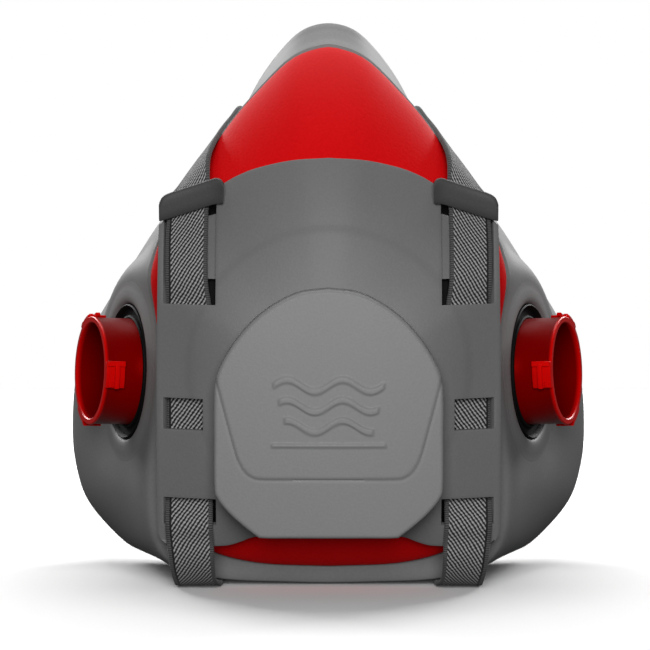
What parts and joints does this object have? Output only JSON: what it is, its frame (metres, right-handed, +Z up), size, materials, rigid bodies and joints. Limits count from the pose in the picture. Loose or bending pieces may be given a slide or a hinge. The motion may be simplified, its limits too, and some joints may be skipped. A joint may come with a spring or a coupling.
{
  "type": "half-mask respirator",
  "caption": "Half-mask respirator: soft facepiece on a rigid body with two side bayonet ports, a front cover with webbing straps, a raised valve hood, head cradle and neck clip.",
  "frame": {"origin": "on the floor, under the middle of the whole object's bounding box, harness included", "axes": "+Z up, -Y the way the mask looks, +X the wearer's left; the harness lies behind the mask towards +Y"},
  "size_m": [0.1502, 0.223, 0.1561],
  "materials": {
    "soft_elastomer": "soft satin",
    "red_plastic": "semi-gloss moulded",
    "grey_plastic": "fine satin texture",
    "light_grey_plastic": "fine satin texture",
    "webbing": "woven ribbed elastic",
    "black_rubber": "matt",
    "silicone": "translucent satin",
    "black_plastic": "satin moulded"
  },
  "bodies": {
    "mask": {"face_piece": "soft_elastomer", "rigid_body": "red_plastic", "front_cover": "grey_plastic", "valve_cover": "light_grey_plastic", "exhale_valve_seat": "black_plastic", "port_right": "red_plastic", "port_left": "red_plastic", "port_ring_right": "black_plastic", "port_ring_left": "black_plastic", "port_gasket_right": "black_rubber", "port_gasket_left": "black_rubber", "strap_right": "webbing", "strap_left": "webbing", "adjuster_right": "black_plastic", "adjuster_left": "black_plastic", "head_cradle": "black_plastic"},
    "exhale_valve_flap": {"exhale_valve_flap": "silicone"},
    "inhale_flap_right": {"inhale_flap_right": "silicone"},
    "inhale_flap_left": {"inhale_flap_left": "silicone"},
    "neck_clip_hook": {"neck_clip_hook": "black_plastic"},
    "neck_clip_loop": {"neck_clip_loop": "black_plastic"}
  },
  "joints": [
    {"name": "exhale_valve_flap_lift", "type": "slide", "parent": "mask", "child": "exhale_valve_flap", "axis": [0, -1, 0], "range_m": [0, 0.002], "stiffness_N_per_m": 20},
    {"name": "inhale_flap_right_lift", "type": "slide", "parent": "mask", "child": "inhale_flap_right", "axis": [-0.9384, 0.3416, -0.0523], "range_m": [0, 0.0015], "stiffness_N_per_m": 20},
    {"name": "inhale_flap_left_lift", "type": "slide", "parent": "mask", "child": "inhale_flap_left", "axis": [0.9384, 0.3416, -0.0523], "range_m": [0, 0.0015], "stiffness_N_per_m": 20},
    {"name": "neck_clip_hook_swing", "type": "hinge", "parent": "mask", "child": "neck_clip_hook", "pos_m": [0.033, 0.0315, 0.0034], "axis": [1, 0, 0], "range_deg": [0, 90]},
    {"name": "neck_clip_loop_swing", "type": "hinge", "parent": "mask", "child": "neck_clip_loop", "pos_m": [-0.033, 0.0315, 0.0034], "axis": [1, 0, 0], "range_deg": [0, 90]}
  ]
}
